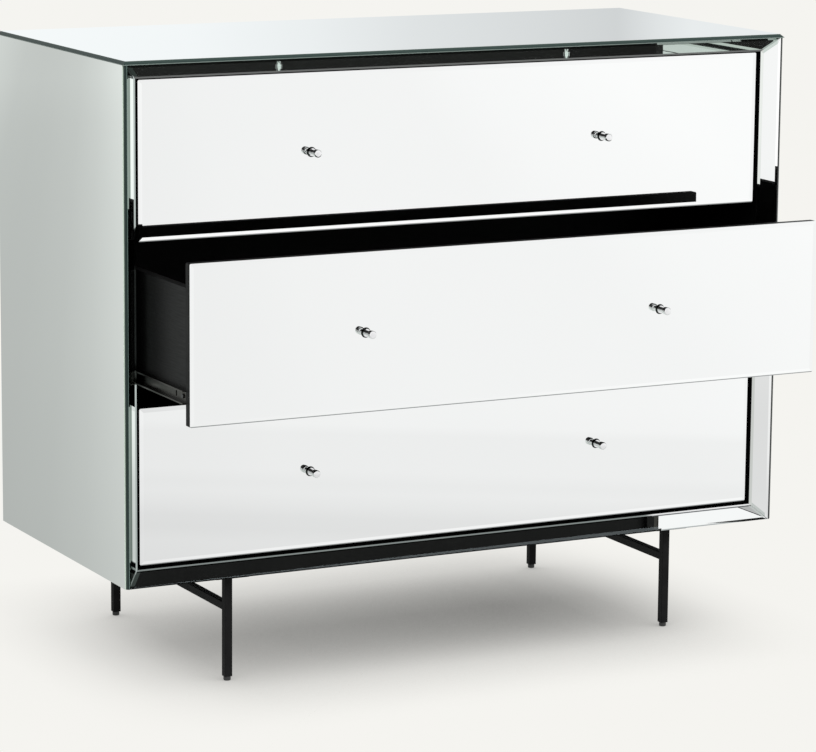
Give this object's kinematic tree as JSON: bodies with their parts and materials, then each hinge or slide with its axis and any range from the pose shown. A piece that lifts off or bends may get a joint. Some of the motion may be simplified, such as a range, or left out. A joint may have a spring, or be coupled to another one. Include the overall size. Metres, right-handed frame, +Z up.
{
  "type": "mirrored chest of drawers",
  "caption": "Straight-sided chest of drawers faced in bevelled mirror glass, with a splayed mitred mirror frame, chrome knobs, ball-bearing slides and low black metal leg frames.",
  "frame": {"origin": "on the floor, at the middle of the footprint that the chest takes with its middle drawer part open as in the picture", "axes": "+X to the viewer's right across the front, +Y from the front to the back, +Z up"},
  "size_m": [1, 0.613, 0.843],
  "materials": {
    "mirror_glass": "polished silvered glass with ground bevels",
    "black_board": "matt black lacquer on fibreboard",
    "drawer_board": "black foil on fibreboard",
    "leg_metal": "fine black powder coat",
    "slide_steel": "black-plated pressed steel",
    "screw_steel": "black-plated steel",
    "chrome": "polished chrome plate",
    "dowel_wood": "plain fluted beech",
    "glide_plastic": "moulded black plastic"
  },
  "bodies": {
    "carcass": {"back_panel": "black_board", "back_panel_screws": "screw_steel", "bottom_board": "black_board", "bottom_cabinet_rails": "slide_steel", "bottom_frame_mirror": "mirror_glass", "cabinet_rail_screws": "screw_steel", "carcass_dowels": "dowel_wood", "left_frame_mirror": "mirror_glass", "left_leg_frame": "leg_metal", "left_side_board": "black_board", "left_side_mirror": "mirror_glass", "leg_glides": "glide_plastic", "leg_plate_screws": "screw_steel", "middle_cabinet_rails": "slide_steel", "right_frame_mirror": "mirror_glass", "right_leg_frame": "leg_metal", "right_side_board": "black_board", "right_side_mirror": "mirror_glass", "top_board": "black_board", "top_cabinet_rails": "slide_steel", "top_frame_mirror": "mirror_glass", "top_mirror": "mirror_glass"},
    "bottom_drawer": {"bottom_drawer_back": "drawer_board", "bottom_drawer_bottom": "drawer_board", "bottom_drawer_left_side": "drawer_board", "bottom_drawer_pegs": "dowel_wood", "bottom_drawer_rails": "slide_steel", "bottom_drawer_right_side": "drawer_board", "bottom_front_board": "black_board", "bottom_front_mirror": "mirror_glass", "bottom_knob_screws": "screw_steel", "bottom_knobs": "chrome", "bottom_rail_screws": "screw_steel"},
    "bottom_cages": {"bottom_ball_cages": "slide_steel"},
    "middle_drawer": {"middle_drawer_back": "drawer_board", "middle_drawer_bottom": "drawer_board", "middle_drawer_left_side": "drawer_board", "middle_drawer_pegs": "dowel_wood", "middle_drawer_rails": "slide_steel", "middle_drawer_right_side": "drawer_board", "middle_front_board": "black_board", "middle_front_mirror": "mirror_glass", "middle_knob_screws": "screw_steel", "middle_knobs": "chrome", "middle_rail_screws": "screw_steel"},
    "middle_cages": {"middle_ball_cages": "slide_steel"},
    "top_drawer": {"top_drawer_back": "drawer_board", "top_drawer_bottom": "drawer_board", "top_drawer_left_side": "drawer_board", "top_drawer_pegs": "dowel_wood", "top_drawer_rails": "slide_steel", "top_drawer_right_side": "drawer_board", "top_front_board": "black_board", "top_front_mirror": "mirror_glass", "top_knob_screws": "screw_steel", "top_knobs": "chrome", "top_rail_screws": "screw_steel"},
    "top_cages": {"top_ball_cages": "slide_steel"}
  },
  "joints": [
    {"name": "bottom_drawer_slide", "type": "slide", "parent": "carcass", "child": "bottom_drawer", "axis": [0, -1, 0], "range_m": [0, 0.3]},
    {"name": "bottom_cage_slide", "type": "slide", "parent": "carcass", "child": "bottom_cages", "axis": [0, -1, 0], "range_m": [0, 0.15]},
    {"name": "middle_drawer_slide", "type": "slide", "parent": "carcass", "child": "middle_drawer", "axis": [0, -1, 0], "range_m": [-0.165, 0.135]},
    {"name": "middle_cage_slide", "type": "slide", "parent": "carcass", "child": "middle_cages", "axis": [0, -1, 0], "range_m": [-0.0825, 0.0675]},
    {"name": "top_drawer_slide", "type": "slide", "parent": "carcass", "child": "top_drawer", "axis": [0, -1, 0], "range_m": [0, 0.3]},
    {"name": "top_cage_slide", "type": "slide", "parent": "carcass", "child": "top_cages", "axis": [0, -1, 0], "range_m": [0, 0.15]}
  ],
  "couplings": [
    {"joint": "bottom_cage_slide", "follows": "bottom_drawer_slide", "ratio": 0.5},
    {"joint": "middle_cage_slide", "follows": "middle_drawer_slide", "ratio": 0.5},
    {"joint": "top_cage_slide", "follows": "top_drawer_slide", "ratio": 0.5}
  ]
}
